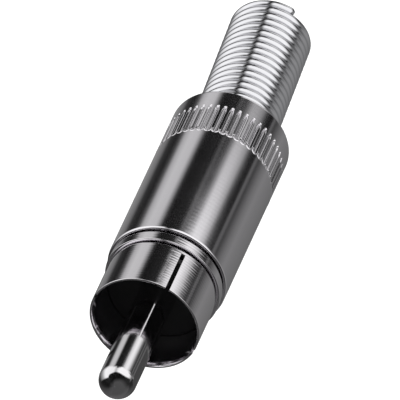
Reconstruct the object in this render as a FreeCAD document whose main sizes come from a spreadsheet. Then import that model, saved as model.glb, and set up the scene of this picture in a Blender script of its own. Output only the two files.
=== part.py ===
"""RCA plug with a slotted contact sleeve, a knurled screw-on barrel and a coil spring strain relief.

Millimetres. The plug lies along Y: the contact pin points to -Y and the cable leaves to +Y. The origin is on
the axis, in the plane of the contact sleeve's mouth. A station is a distance along Y from that plane. Angles
round the axis are counted from +Z towards +X.
"""
import FreeCAD, Part
import math
import os
import re

import Sketcher

# Sizes that can be set by themselves: name, value, what it measures.
SIZES = [
    ("pin_radius", 1.6, "contact pin, radius of the mating length"),
    ("pin_reach", 9.0, "contact pin, tip ahead of the sleeve's mouth"),
    ("nose_length", 1.5, "contact pin, length of the rounded nose"),
    ("shank_radius", 1.1, "contact pin, radius through the insulators"),
    ("cup_radius", 1.5, "solder cup, outer radius"),
    ("cup_length", 4.0, "solder cup, length"),
    ("cup_bore", 0.95, "solder cup, bore radius"),
    ("cup_depth", 3.2, "solder cup, bore depth"),
    ("cup_mouth", 2.2, "solder cup, length of the open half"),
    ("sleeve_radius", 4.72, "contact sleeve, outer radius"),
    ("sleeve_wall", 0.4, "contact sleeve, sheet thickness"),
    ("sleeve_depth", 4.95, "contact sleeve, mouth to the back of its floor"),
    ("sleeve_bevel", 0.3, "contact sleeve, bevel on its outer edge at the floor"),
    ("slot_width", 0.38, "contact sleeve, width of a slot"),
    ("slot_angle", 25.2, "contact sleeve, angle of the first slot"),
    ("collar_radius", 4.95, "threaded body, collar radius"),
    ("collar_length", 1.1, "threaded body, collar length"),
    ("collar_bevel", 0.12, "threaded body, bevel on the collar's edges"),
    ("thread_radius", 4.35, "threaded body, radius over the thread"),
    ("thread_length", 4.8, "threaded body, length of the thread"),
    ("neck_radius", 3.2, "threaded body, radius of the necks that are staked over"),
    ("stake_height", 0.25, "threaded body, how far a staked lip stands out from its neck"),
    ("stake_length", 0.25, "threaded body, length of a staked lip"),
    ("body_bore", 2.7, "threaded body, bore radius"),
    ("insulator_length", 0.5, "front insulator, thickness of its disc"),
    ("flange_radius", 3.3, "rear insulator, flange radius"),
    ("flange_length", 0.8, "rear insulator, flange thickness"),
    ("lug_sheet", 0.5, "ground lug, sheet thickness"),
    ("lug_margin", 0.25, "ground lug, how far its ring stays inside the thread"),
    ("lug_width", 2.4, "ground lug, width of its tail"),
    ("lug_run", 1.6, "ground lug, length of the tail before it steps in"),
    ("lug_step", 1.5, "ground lug, length of the step"),
    ("lug_hole", 0.5, "ground lug, radius of the solder hole"),
    ("clamp_bore", 2.0, "cable clamp, inner radius"),
    ("clamp_gap", 1.0, "cable clamp, distance behind the solder cup"),
    ("clamp_length", 3.4, "cable clamp, length"),
    ("clamp_wrap", 230.0, "cable clamp, angle that its two ears span"),
    ("liner_wall", 0.3, "insulating tube, wall"),
    ("liner_length", 7.2, "insulating tube, length"),
    ("liner_gap", 0.5, "insulating tube, distance in front of the spring"),
    ("barrel_gap", 0.25, "gap between the collar and the barrel when screwed home"),
    ("barrel_wall", 0.71, "barrel, wall thickness round the thread"),
    ("barrel_length", 18.36, "barrel, length"),
    ("barrel_wall_end", 1.0, "barrel, thickness of its rear wall"),
    ("barrel_bevel", 0.18, "barrel, bevel on the front edge"),
    ("barrel_edge", 0.2, "barrel, bevel on the rear edge"),
    ("groove_count", 50, "barrel, number of grip grooves"),
    ("groove_margin", 1.9, "barrel, plain band behind the grooves"),
    ("groove_length", 3.34, "barrel, length of a groove"),
    ("groove_width", 0.44, "barrel, width of a groove"),
    ("groove_depth", 0.16, "barrel, depth of a groove"),
    ("groove_angle", 16.5, "barrel, angle of the first groove"),
    ("wire_radius", 0.37, "spring, wire radius"),
    ("coil_pitch", 0.755, "spring, distance from turn to turn"),
    ("coil_radius", 3.58, "spring, outer radius"),
    ("foot_turns", 1.2, "spring, number of wide turns inside the barrel"),
    ("ease_turns", 0.4, "spring, part of a turn in which the wide coil narrows"),
    ("coil_reach", 14.37, "spring, how far it stands out of the barrel"),
    ("coil_end_angle", 36.9, "spring, angle of the free end"),
    ("coil_lean", 2.6, "spring, angle that it leans from the barrel's axis"),
    ("lean_axis_angle", 18.9, "spring, angle of the line that it leans about"),
    ("slip_fit", 0.05, "radial clearance of one fixed piece in another"),
    ("thread_fit", 0.1, "radial clearance of the barrel round the threaded body"),
    ("coil_fit", 0.19, "radial clearance of the spring in the barrel's rear hole"),
    ("foot_fit", 0.27, "radial clearance of the spring's wide turns in the barrel"),
    ("foot_gap", 0.2, "gap between the spring's full coils and the barrel's rear wall"),
]
WIRE_SIDES = 6
LENGTHS_PER_TURN = 14

# Stations and radii that follow from the sizes, as expressions of the sheet's cells.
FLOOR_FRONT = "(sleeve_depth - sleeve_wall)"
SLEEVE_BORE = "(sleeve_radius - sleeve_wall)"
COLLAR_REAR = "(sleeve_depth + collar_length)"
THREAD_REAR = f"({COLLAR_REAR} + thread_length)"
LUG_REAR = f"({THREAD_REAR} + lug_sheet)"
STAKE_FRONT = f"({FLOOR_FRONT} - stake_length)"
STAKE_REAR = f"({LUG_REAR} + stake_length)"
PIN_SEAT = f"({STAKE_FRONT} - insulator_length)"
FLANGE_REAR = f"({STAKE_REAR} + flange_length)"
CUP_REAR = f"({FLANGE_REAR} + cup_length)"
INSULATOR_SPLIT = f"(({STAKE_FRONT} + {STAKE_REAR}) / 2)"
SHANK_HOLE = "(shank_radius + slip_fit)"
STAKE_RADIUS = "(neck_radius + stake_height)"
LUG_RING = "(thread_radius - lug_margin)"
CLAMP_FRONT = f"({CUP_REAR} + clamp_gap)"
CLAMP_REAR = f"({CLAMP_FRONT} + clamp_length)"
BARREL_FRONT = f"({COLLAR_REAR} + barrel_gap)"
BARREL_REAR = f"({BARREL_FRONT} + barrel_length)"
BARREL_BORE = "(thread_radius + thread_fit)"
BARREL_RADIUS = f"({BARREL_BORE} + barrel_wall)"
WALL_FRONT = f"({BARREL_REAR} - barrel_wall_end)"
GROOVE_REAR = f"({BARREL_REAR} - groove_margin)"
GROOVE_FRONT = f"({GROOVE_REAR} - groove_length)"
REAR_HOLE = "(coil_radius + coil_fit)"
COIL_START = f"({WALL_FRONT} - foot_gap - wire_radius - (ease_turns + foot_turns) * coil_pitch)"
LINER_REAR = f"({COIL_START} - wire_radius - liner_gap)"
LINER_FRONT = f"({LINER_REAR} - liner_length)"

doc = FreeCAD.newDocument("rca_plug")
sheet = doc.addObject("Spreadsheet::Sheet", "Sizes")
for row, (alias, value, meaning) in enumerate(SIZES, start=1):
    sheet.set(f"A{row}", alias)
    sheet.set(f"B{row}", str(value))
    sheet.set(f"C{row}", meaning)
    sheet.setAlias(f"B{row}", alias)
doc.recompute()


def cell(alias):
    """The number in one cell of the sheet."""
    return float(sheet.get(alias))


def bound(text):
    """An expression for setExpression, in which every word is a cell of the sheet."""
    return re.sub(r"[a-z][a-z_]*", lambda word: f"Sizes.{word.group()}", text)


def number(text):
    """What an expression of cells comes to now."""
    return float(sheet.evalExpression(re.sub(r"[a-z][a-z_]*", lambda word: f".{word.group()}", text)))


def new_body(name):
    body = doc.addObject("PartDesign::Body", name)
    body.Label = name
    return body


def sketch_on(body, role, name):
    """A sketch on one of the body's own origin planes."""
    sketch = body.newObject("Sketcher::SketchObject", name)
    plane = next(item for item in body.Origin.OriginFeatures if item.Role == role)
    sketch.AttachmentSupport = [(plane, "")]
    sketch.MapMode = "FlatFace"
    return sketch


def arc_between(start, end, radius, side):
    """The short arc from start to end that bulges to the left (side 1) or right (side -1) of the way."""
    way = end - start
    middle = (start + end) * 0.5
    left = FreeCAD.Vector(-way.y, way.x, 0).normalize()
    centre = middle - left * (side * math.sqrt(max(radius**2 - way.Length**2 / 4, 0)))
    circle = Part.Circle(centre, FreeCAD.Vector(0, 0, 1), radius)
    first, last = (start, end) if side < 0 else (end, start)
    angles = [math.atan2(point.y - centre.y, point.x - centre.x) for point in (first, last)]
    return Part.ArcOfCircle(circle, angles[0], angles[1])


def outline(sketch, corners, arcs=None):
    """Draw a closed outline through corners given as pairs of expressions, each bound to the sheet.

    arcs maps the number of a side to (radius, side of the bulge); the other sides are straight.
    """
    arcs = arcs or {}
    points = [FreeCAD.Vector(number(across), number(up), 0) for across, up in corners]
    ends = []
    for index, point in enumerate(points):
        following = points[(index + 1) % len(points)]
        if index in arcs:
            radius, side = arcs[index]
            shape = arc_between(point, following, number(radius), side)
            ends.append((1, 2) if side < 0 else (2, 1))
        else:
            shape = Part.LineSegment(point, following)
            ends.append((1, 2))
        sketch.addGeometry(shape, False)
    for index, (start, end) in enumerate(ends):
        following = (index + 1) % len(points)
        sketch.addConstraint(Sketcher.Constraint("Coincident", index, end, following, ends[following][0]))
    for index, (across, up) in enumerate(corners):
        for kind, text in (("DistanceX", across), ("DistanceY", up)):
            place = Sketcher.Constraint(kind, -1, 1, index, ends[index][0], number(text))
            sketch.setExpression(f"Constraints[{sketch.addConstraint(place)}]", bound(text))
    for index, (radius, side) in arcs.items():
        place = sketch.addConstraint(Sketcher.Constraint("Radius", index, number(radius)))
        sketch.setExpression(f"Constraints[{place}]", bound(radius))


def turned(name, corners, arcs=None):
    """A body turned about the plug's axis, from an outline of (station, radius) corners."""
    body = new_body(name)
    sketch = sketch_on(body, "YZ_Plane", f"{name}_outline")
    outline(sketch, corners, arcs)
    turn = body.newObject("PartDesign::Revolution", f"{name}_turning")
    turn.Profile = sketch
    turn.ReferenceAxis = (sketch, ["H_Axis"])
    turn.Angle = 360
    turn.Refine = False
    return body


def slab_cut(body, name, corners, width):
    """Cut a slab of the given width, centred on the YZ plane, from an outline of (station, height) corners."""
    sketch = sketch_on(body, "YZ_Plane", f"{name}_outline")
    outline(sketch, corners)
    cut = body.newObject("PartDesign::Pocket", name)
    cut.Profile = sketch
    cut.Midplane = True
    cut.setExpression("Length", bound(width))
    return cut


def round_about_axis(body, feature, count, name):
    """Repeat a feature evenly round the plug's axis."""
    pattern = body.newObject("PartDesign::PolarPattern", name)
    pattern.Originals = [feature]
    axis = next(item for item in body.Origin.OriginFeatures if item.Role == "Y_Axis")
    pattern.Axis = (axis, [""])
    pattern.Angle = 360
    pattern.Occurrences = count
    pattern.Refine = False
    body.Tip = pattern
    return pattern


def turn_to(piece, alias):
    """Turn a finished piece about the plug's axis to the angle in a cell."""
    piece.Placement = FreeCAD.Placement(FreeCAD.Vector(), FreeCAD.Rotation(FreeCAD.Vector(0, 1, 0), cell(alias)))
    piece.setExpression("Placement.Rotation.Angle", f"Sizes.{alias} * 1 deg")


def make_centre_pin():
    """Turned contact: full-round nose, mating length, thinner shank and a solder cup open on its upper side."""
    nose_end = "(nose_length - pin_reach)"
    nose_arc = "((pin_radius * pin_radius + nose_length * nose_length) / (2 * nose_length))"
    pin = turned(
        "centre_pin",
        [
            ("0 - pin_reach", "0"),
            (nose_end, "pin_radius"),
            (PIN_SEAT, "pin_radius"),
            (PIN_SEAT, "shank_radius"),
            (FLANGE_REAR, "shank_radius"),
            (FLANGE_REAR, "cup_radius"),
            (CUP_REAR, "cup_radius"),
            (CUP_REAR, "cup_bore"),
            (f"{CUP_REAR} - cup_depth", "cup_bore"),
            (f"{CUP_REAR} - cup_depth - cup_bore / 2", "0"),
        ],
        {0: (nose_arc, 1)},
    )
    slab_cut(
        pin,
        "cup_opening",
        [
            (f"{CUP_REAR} - cup_mouth", "cup_bore / 4"),
            (f"{CUP_REAR} + 1", "cup_bore / 4"),
            (f"{CUP_REAR} + 1", "cup_radius + 1"),
            (f"{CUP_REAR} - cup_mouth", "cup_radius + 1"),
        ],
        "2 * cup_radius + 1",
    )
    return pin


def make_front_insulator():
    """Moulded disc on the staked lip, with a neck that fills the front half of the body's bore."""
    return turned(
        "front_insulator",
        [
            (PIN_SEAT, SHANK_HOLE),
            (PIN_SEAT, f"{SLEEVE_BORE} - slip_fit"),
            (STAKE_FRONT, f"{SLEEVE_BORE} - slip_fit"),
            (STAKE_FRONT, "body_bore - slip_fit"),
            (INSULATOR_SPLIT, "body_bore - slip_fit"),
            (INSULATOR_SPLIT, SHANK_HOLE),
        ],
    )


def make_rear_insulator():
    """Moulded bush that fills the rear half of the bore and keeps the solder cup off the ground lug."""
    return turned(
        "rear_insulator",
        [
            (INSULATOR_SPLIT, SHANK_HOLE),
            (INSULATOR_SPLIT, "body_bore - slip_fit"),
            (STAKE_REAR, "body_bore - slip_fit"),
            (STAKE_REAR, "flange_radius"),
            (FLANGE_REAR, "flange_radius"),
            (FLANGE_REAR, SHANK_HOLE),
        ],
    )


def make_contact_sleeve():
    """Drawn cup with a holed floor and a wall sawn into four spring fingers."""
    sleeve = turned(
        "contact_sleeve",
        [
            ("0", SLEEVE_BORE),
            ("0", "sleeve_radius"),
            ("sleeve_depth - sleeve_bevel", "sleeve_radius"),
            ("sleeve_depth", "sleeve_radius - sleeve_bevel"),
            ("sleeve_depth", "neck_radius + slip_fit"),
            (FLOOR_FRONT, "neck_radius + slip_fit"),
            (FLOOR_FRONT, SLEEVE_BORE),
        ],
    )
    slot = slab_cut(
        sleeve,
        "slot",
        [
            ("0 - 1", "0 - sleeve_radius - 1"),
            (FLOOR_FRONT, "0 - sleeve_radius - 1"),
            (FLOOR_FRONT, "sleeve_radius + 1"),
            ("0 - 1", "sleeve_radius + 1"),
        ],
        "slot_width",
    )
    round_about_axis(sleeve, slot, 4, "slots")
    turn_to(sleeve, "slot_angle")
    return sleeve


def make_threaded_body():
    """Turned core: a collar, the thread that the barrel screws on, and a neck staked over at each end."""
    return turned(
        "threaded_body",
        [
            (STAKE_FRONT, "body_bore"),
            (STAKE_FRONT, STAKE_RADIUS),
            (FLOOR_FRONT, STAKE_RADIUS),
            (FLOOR_FRONT, "neck_radius"),
            ("sleeve_depth", "neck_radius"),
            ("sleeve_depth", "collar_radius - collar_bevel"),
            ("sleeve_depth + collar_bevel", "collar_radius"),
            (f"{COLLAR_REAR} - collar_bevel", "collar_radius"),
            (COLLAR_REAR, "collar_radius - collar_bevel"),
            (COLLAR_REAR, "thread_radius"),
            (THREAD_REAR, "thread_radius"),
            (THREAD_REAR, "neck_radius"),
            (LUG_REAR, "neck_radius"),
            (LUG_REAR, STAKE_RADIUS),
            (STAKE_REAR, STAKE_RADIUS),
            (STAKE_REAR, "body_bore"),
        ],
    )


def make_ground_lug():
    """Stamped lug: a ring under the rear stake, a stepped tail with a solder hole, and a two-eared clamp."""
    lug = turned(
        "ground_lug",
        [
            (THREAD_REAR, "neck_radius + slip_fit"),
            (THREAD_REAR, LUG_RING),
            (LUG_REAR, LUG_RING),
            (LUG_REAR, "neck_radius + slip_fit"),
        ],
    )
    outer = f"(0 - {LUG_RING})"
    inner = f"(lug_sheet - {LUG_RING})"
    step_start = f"({LUG_REAR} + lug_run)"
    step_end = f"({step_start} + lug_step)"
    tail = sketch_on(lug, "YZ_Plane", "tail_outline")
    outline(
        tail,
        [
            (THREAD_REAR, outer),
            (step_start, outer),
            (step_end, "0 - clamp_bore - lug_sheet"),
            (f"{CLAMP_FRONT} + lug_sheet", "0 - clamp_bore - lug_sheet"),
            (f"{CLAMP_FRONT} + lug_sheet", "0 - clamp_bore"),
            (step_end, "0 - clamp_bore"),
            (step_start, inner),
            (THREAD_REAR, inner),
        ],
    )
    strip = lug.newObject("PartDesign::Pad", "tail")
    strip.Profile = tail
    strip.Midplane = True
    strip.setExpression("Length", "Sizes.lug_width")
    section = sketch_on(lug, "YZ_Plane", "clamp_outline")
    outline(
        section,
        [
            (CLAMP_FRONT, "0 - clamp_bore - lug_sheet"),
            (CLAMP_REAR, "0 - clamp_bore - lug_sheet"),
            (CLAMP_REAR, "0 - clamp_bore"),
            (CLAMP_FRONT, "0 - clamp_bore"),
        ],
    )
    ears = lug.newObject("PartDesign::Revolution", "clamp_ears")
    ears.Profile = section
    ears.ReferenceAxis = (section, ["H_Axis"])
    ears.Midplane = True
    ears.setExpression("Angle", "Sizes.clamp_wrap * 1 deg")
    hole_sketch = sketch_on(lug, "XY_Plane", "solder_hole_outline")
    hole_sketch.addGeometry(Part.Circle(FreeCAD.Vector(), FreeCAD.Vector(0, 0, 1), cell("lug_hole")), False)
    middle = f"(({step_end} + {CLAMP_FRONT}) / 2)"
    hole_sketch.addConstraint(Sketcher.Constraint("PointOnObject", 0, 3, -2))
    place = hole_sketch.addConstraint(Sketcher.Constraint("DistanceY", -1, 1, 0, 3, number(middle)))
    hole_sketch.setExpression(f"Constraints[{place}]", bound(middle))
    place = hole_sketch.addConstraint(Sketcher.Constraint("Radius", 0, cell("lug_hole")))
    hole_sketch.setExpression(f"Constraints[{place}]", "Sizes.lug_hole")
    hole = lug.newObject("PartDesign::Pocket", "solder_hole")
    hole.Profile = hole_sketch
    hole.setExpression("Length", bound("clamp_bore + lug_sheet + 1"))
    return lug


def make_insulating_tube():
    """Plain tube in the barrel's bore, over the solder joints."""
    outer = f"{BARREL_BORE} - slip_fit"
    return turned(
        "insulating_tube",
        [
            (LINER_FRONT, f"{outer} - liner_wall"),
            (LINER_FRONT, outer),
            (LINER_REAR, outer),
            (LINER_REAR, f"{outer} - liner_wall"),
        ],
    )


def make_barrel():
    """Screw-on shell: bevelled front edge, rear wall with the spring's hole, and a ring of pressed grip grooves."""
    barrel = turned(
        "barrel",
        [
            (BARREL_FRONT, BARREL_BORE),
            (BARREL_FRONT, f"{BARREL_RADIUS} - barrel_bevel"),
            (f"{BARREL_FRONT} + barrel_bevel", BARREL_RADIUS),
            (GROOVE_FRONT, BARREL_RADIUS),
            (GROOVE_REAR, BARREL_RADIUS),
            (f"{BARREL_REAR} - barrel_edge", BARREL_RADIUS),
            (BARREL_REAR, f"{BARREL_RADIUS} - barrel_edge"),
            (BARREL_REAR, REAR_HOLE),
            (WALL_FRONT, REAR_HOLE),
            (WALL_FRONT, BARREL_BORE),
        ],
    )
    sketch = sketch_on(barrel, "XZ_Plane", "groove_outline")
    sketch.setExpression("AttachmentOffset.Base.z", bound(f"0 - {GROOVE_FRONT}"))
    floor = f"({BARREL_RADIUS} - groove_depth)"
    outline(
        sketch,
        [
            ("0 - groove_width / 4", floor),
            ("groove_width / 4", floor),
            ("groove_width / 2", BARREL_RADIUS),
            ("groove_width / 2", f"{BARREL_RADIUS} + 1"),
            ("0 - groove_width / 2", f"{BARREL_RADIUS} + 1"),
            ("0 - groove_width / 2", BARREL_RADIUS),
        ],
    )
    groove = barrel.newObject("PartDesign::Pocket", "groove")
    groove.Profile = sketch
    groove.setExpression("Length", "Sizes.groove_length")
    groove.Refine = False
    pattern = round_about_axis(barrel, groove, int(cell("groove_count")), "grip_grooves")
    pattern.setExpression("Occurrences", "Sizes.groove_count")
    turn_to(barrel, "groove_angle")
    return barrel


def coil_centre_line():
    """Centre line of the spring's wire, as short straight lengths: a right-hand helix round the plug's axis.

    The first turns are wide and stay inside the barrel. They ease into the narrow coil that leaves by the
    rear hole.
    """
    wire, pitch = cell("wire_radius"), cell("coil_pitch")
    narrow, wide = cell("coil_radius") - wire, number(f"{BARREL_BORE} - foot_fit") - wire
    start = number(COIL_START)
    end = number(f"{BARREL_REAR} + coil_reach") - wire
    turns = (end - start) / pitch
    lengths = round(turns * LENGTHS_PER_TURN)
    points = []
    for index in range(lengths + 1):
        turn = turns * index / lengths
        eased = min(max((turn - cell("foot_turns")) / cell("ease_turns"), 0), 1)
        radius = wide + (narrow - wide) * eased**2 * (3 - 2 * eased)
        angle = math.radians(cell("coil_end_angle") - 360 * (turns - turn))
        points.append(FreeCAD.Vector(radius * math.sin(angle), start + turn * pitch, radius * math.cos(angle)))
    return points


def make_cable_spring():
    """Close-wound spring: a six-sided wire swept along the coil with mitred joints, then leaned over."""
    points = coil_centre_line()
    path = doc.addObject("Part::Feature", "coil_path")
    path.Shape = Part.makePolygon(points)
    section = doc.addObject("Part::RegularPolygon", "wire_section")
    section.Polygon = WIRE_SIDES
    section.setExpression("Circumradius", "Sizes.wire_radius")
    facing = FreeCAD.Rotation(FreeCAD.Vector(0, 0, 1), points[1] - points[0])
    section.Placement = FreeCAD.Placement(points[0], facing)
    spring = doc.addObject("Part::Sweep", "cable_spring")
    spring.Label = "cable_spring"
    spring.Sections = [section]
    spring.Spine = (path, [])
    spring.Solid = True
    spring.Frenet = False
    spring.Transition = "Right corner"
    about = math.radians(cell("lean_axis_angle"))
    lean = FreeCAD.Rotation(FreeCAD.Vector(math.sin(about), 0, math.cos(about)), cell("coil_lean"))
    hole_middle = FreeCAD.Vector(0, number(BARREL_REAR) - cell("barrel_wall_end") / 2, 0)
    spring.Placement = FreeCAD.Placement(hole_middle - lean.multVec(hole_middle), lean)
    return spring


pieces = [
    make_centre_pin(),
    make_front_insulator(),
    make_rear_insulator(),
    make_contact_sleeve(),
    make_threaded_body(),
    make_ground_lug(),
    make_insulating_tube(),
    make_barrel(),
    make_cable_spring(),
]
doc.recompute()

for item in doc.Objects:
    if "Invalid" in item.State or "Error" in item.State:
        raise RuntimeError(f"{item.Label} did not compute: {item.State}")
for piece in pieces:
    if piece.Shape.isNull() or not piece.Shape.isValid() or len(piece.Shape.Solids) != 1:
        raise RuntimeError(f"{piece.Label} is not one valid solid")

os.makedirs("parts", exist_ok=True)
for piece in pieces:
    piece.Shape.exportStep(f"parts/{piece.Label}.step")
    box = piece.Shape.BoundBox
    print(f"{piece.Label}: {piece.Shape.Volume:.2f} mm3, y {box.YMin:.2f} to {box.YMax:.2f}")
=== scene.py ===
"""Looks of a plated coaxial plug: round pin, sawn contact sleeve, screw-on barrel and coil spring.

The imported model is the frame. Each class below makes one sub-assembly in the row frame, in metres: the plug
lies along Y, its pin points to -Y and its cable side to +Y. Stations along the axis, counted from the mouth
of the sleeve, radii and all other lengths are in mm, and fields that are angles are in degrees. Angles round
the axis are counted from +Z towards +X.
"""
import logging
import math
from dataclasses import dataclass
from enum import Enum

import bpy
import numpy as np
from bpy.types import Material, Node, NodeSocket, NodeTree, Object
from mathutils import Matrix, Vector


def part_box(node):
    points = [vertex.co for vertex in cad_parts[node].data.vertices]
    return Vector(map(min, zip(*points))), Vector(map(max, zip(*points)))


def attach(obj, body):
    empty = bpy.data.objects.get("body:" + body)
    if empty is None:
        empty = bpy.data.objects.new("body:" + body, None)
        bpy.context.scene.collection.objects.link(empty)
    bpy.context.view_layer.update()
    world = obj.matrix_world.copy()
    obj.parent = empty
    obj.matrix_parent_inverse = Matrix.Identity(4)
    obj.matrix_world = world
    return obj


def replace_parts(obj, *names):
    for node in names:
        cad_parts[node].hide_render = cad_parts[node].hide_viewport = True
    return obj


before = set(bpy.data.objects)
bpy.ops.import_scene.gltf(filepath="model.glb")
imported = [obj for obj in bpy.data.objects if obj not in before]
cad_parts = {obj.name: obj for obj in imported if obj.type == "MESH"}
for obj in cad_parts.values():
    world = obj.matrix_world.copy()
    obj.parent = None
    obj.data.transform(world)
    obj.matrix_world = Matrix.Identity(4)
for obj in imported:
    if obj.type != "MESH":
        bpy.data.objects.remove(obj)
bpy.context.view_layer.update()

LOG = logging.getLogger("plug")
MM = 0.001
WHITE = (1.0, 1.0, 1.0, 1.0)


class Body(Enum):
    """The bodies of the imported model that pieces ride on."""

    CORE = "plug_core"
    SPRING = "strain_relief"
    BARREL = "screw_barrel"


class Slot(Enum):
    """The material slots of the plug."""

    BRIGHT = "bright_plate"
    TURNED = "turned_plate"
    BARREL = "barrel_plate"
    WIRE = "spring_wire"
    PLASTIC = "black_plastic"
    SHEET = "tinned_sheet"
    TUBE = "clear_tube"


# Meshes

NO_TRIANGLES = np.zeros((0, 3), int)
ON_AXIS = 1e-9
SAME_RADIUS = 1e-6


@dataclass
class Surface:
    """Points, in metres, and faces of one closed surface, faces as rows of point numbers."""

    points: np.ndarray
    quads: np.ndarray
    triangles: np.ndarray

    def volume(self) -> float:
        """Signed volume: a sixth of the sum of the triple products of all the triangles."""
        cut = np.vstack([self.quads[:, [0, 1, 2]], self.quads[:, [0, 2, 3]], self.triangles])
        a, b, c = (self.points[cut[:, k]] for k in range(3))
        return float(np.einsum("ij,ij->i", a, np.cross(b, c)).sum() / 6)

    def outward(self) -> "Surface":
        """The same surface with its faces turned outwards."""
        if self.volume() >= 0:
            return self
        return Surface(self.points, self.quads[:, ::-1], self.triangles[:, ::-1])

    def polar(self) -> tuple[np.ndarray, np.ndarray, np.ndarray]:
        """Each point's angle round the axis, in radians, and its station and radius, in mm."""
        x, y, z = self.points.T
        return np.arctan2(x, z), y / MM, np.hypot(x, z) / MM

    def swell(self, share: np.ndarray) -> None:
        """Multiply each point's distance from the axis by its share."""
        self.points[:, [0, 2]] *= share[:, None]


def joined(parts: list[Surface]) -> Surface:
    """Several surfaces as one, each with its faces outwards.

    Args:
        parts: The closed surfaces.

    Returns:
        One surface that holds them all.
    """
    parts = [part.outward() for part in parts]
    shifts = np.cumsum([0] + [len(part.points) for part in parts[:-1]])
    return Surface(
        np.vstack([part.points for part in parts]),
        np.vstack([part.quads + shift for part, shift in zip(parts, shifts)]),
        np.vstack([part.triangles + shift for part, shift in zip(parts, shifts)]),
    )


def grid_faces(rows: int, columns: int, round_rows: bool, round_columns: bool) -> np.ndarray:
    """Faces of a grid whose point (i, j) has the number i * columns + j.

    Args:
        rows: Number of rows of points.
        columns: Number of points in a row.
        round_rows: True if the last row joins the first.
        round_columns: True if the last column joins the first.

    Returns:
        One row of four point numbers for each face.
    """
    i, j = np.meshgrid(
        np.arange(rows if round_rows else rows - 1),
        np.arange(columns if round_columns else columns - 1),
        indexing="ij",
    )
    row, next_row = i.ravel() * columns, (i.ravel() + 1) % rows * columns
    column, next_column = j.ravel(), (j.ravel() + 1) % columns
    return np.stack([row + column, row + next_column, next_row + next_column, next_row + column], axis=1)


def end_faces(rows: int, columns: int) -> np.ndarray:
    """Triangles that close a grid of round rows with one point at each end, numbered after the grid's own.

    Args:
        rows: Number of rows of points.
        columns: Number of points in a row.

    Returns:
        One row of three point numbers for each triangle.
    """
    here = np.arange(columns)
    following = np.roll(here, -1)
    base, first = (rows - 1) * columns, rows * columns
    front = np.stack([following, here, np.full(columns, first)], axis=1)
    rear = np.stack([base + here, base + following, np.full(columns, first + 1)], axis=1)
    return np.vstack([front, rear])


def new_object(name: str, points: np.ndarray, faces: list[list[int]], material: Material) -> Object:
    """A new mesh object in the scene.

    Args:
        name: Its name.
        points: Its points, in metres in the row frame.
        faces: Point numbers of each face.
        material: Its material.

    Returns:
        The object.
    """
    mesh = bpy.data.meshes.new(name)
    mesh.from_pydata(points.tolist(), [], faces)
    mesh.materials.append(material)
    made = bpy.data.objects.new(name, mesh)
    bpy.context.scene.collection.objects.link(made)
    return made


def piece(
    name: str,
    surface: Surface,
    body: Body,
    slot: Slot,
    materials: dict[Slot, Material],
    smooth_to: float = 40.0,
    marks: dict[str, np.ndarray] | None = None,
) -> Object:
    """Make a smooth mesh object from a surface, in place on its body.

    Args:
        name: The object's name.
        surface: Its points and faces.
        body: The body that it rides on.
        slot: The slot that its finish stands for.
        materials: The material of each slot.
        smooth_to: Two faces that meet at more than this angle, in degrees, keep a sharp edge.
        marks: Numbers for each point that the material reads, by the name of their attribute.

    Returns:
        The new object.
    """
    surface = surface.outward()
    faces = surface.quads.tolist() + surface.triangles.tolist()
    made = new_object(name, surface.points, faces, materials[slot])
    mesh = made.data
    mesh.polygons.foreach_set("use_smooth", np.ones(len(mesh.polygons), bool))
    mesh.set_sharp_from_angle(angle=math.radians(smooth_to))
    for label, values in (marks or {}).items():
        mesh.attributes.new(label, "FLOAT", "POINT").data.foreach_set("value", values.astype(np.float32))
    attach(made, body.value)
    LOG.info("%s: %d points, %d faces", name, len(mesh.vertices), len(mesh.polygons))
    return made


def dress(node: str, material: Material) -> None:
    """Give a CAD node that stays its finish.

    Args:
        node: The node's name.
        material: Its material.
    """
    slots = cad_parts[node].data.materials
    slots.clear()
    slots.append(material)
    LOG.info("%s: dressed", node)


@dataclass(frozen=True)
class Corner:
    """A corner of a turned outline: its station, its radius from the axis and the radius that rounds it."""

    station: float
    radius: float
    round: float = 0.0


def rounded(corners: list[Corner], closed: bool = True, steps: int = 5) -> np.ndarray:
    """An outline through corners, each with its arc, and a close point past each end of an arc.

    The arc at a corner touches both sides at round / tan(half the angle between them). Its points turn
    evenly from one side to the other. The extra points keep the arc's smooth shading off the long sides.

    Args:
        corners: The corners in order.
        closed: True if the last corner joins the first.
        steps: Number of lengths in an arc.

    Returns:
        Rows of (station, radius).
    """
    most_of_side, past_arc = 0.8, 0.4
    points = []
    for index, corner in enumerate(corners):
        here = np.array([corner.station, corner.radius])
        if corner.round == 0 or (not closed and index in (0, len(corners) - 1)):
            points.append(here[None])
            continue
        before, after = corners[index - 1], corners[(index + 1) % len(corners)]
        back = np.array([before.station, before.radius]) - here
        ahead = np.array([after.station, after.radius]) - here
        room = min(np.linalg.norm(back), np.linalg.norm(ahead)) / 2
        back, ahead = back / np.linalg.norm(back), ahead / np.linalg.norm(ahead)
        half = math.acos(np.clip(back @ ahead, -1, 1)) / 2
        reach = min(corner.round / math.tan(half), room * most_of_side)
        middle = here + (back + ahead) / np.linalg.norm(back + ahead) * reach / math.cos(half)
        start, end = here + back * reach - middle, here + ahead * reach - middle
        turn = np.linspace(0, 1, steps + 1)[:, None]
        sweep = math.pi - 2 * half
        arc = (np.sin((1 - turn) * sweep) * start + np.sin(turn * sweep) * end) / math.sin(sweep)
        slack = min(reach * past_arc, room - reach)
        points.append(here + back[None] * (reach + slack))
        points.append(middle + arc)
        points.append(here + ahead[None] * (reach + slack))
    return np.vstack(points)


def around(angles: np.ndarray) -> np.ndarray:
    """Unit vectors that point away from the plug's axis at angles counted from +Z towards +X."""
    return np.stack([np.sin(angles), np.zeros_like(angles), np.cos(angles)], axis=-1)


def eased(values: np.ndarray, start: float, length: float) -> np.ndarray:
    """A soft step from 0 to 1: share^2 * (3 - 2 * share), with share the way from start over a length."""
    share = np.clip((values - start) / length, 0, 1)
    return share**2 * (3 - 2 * share)


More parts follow.
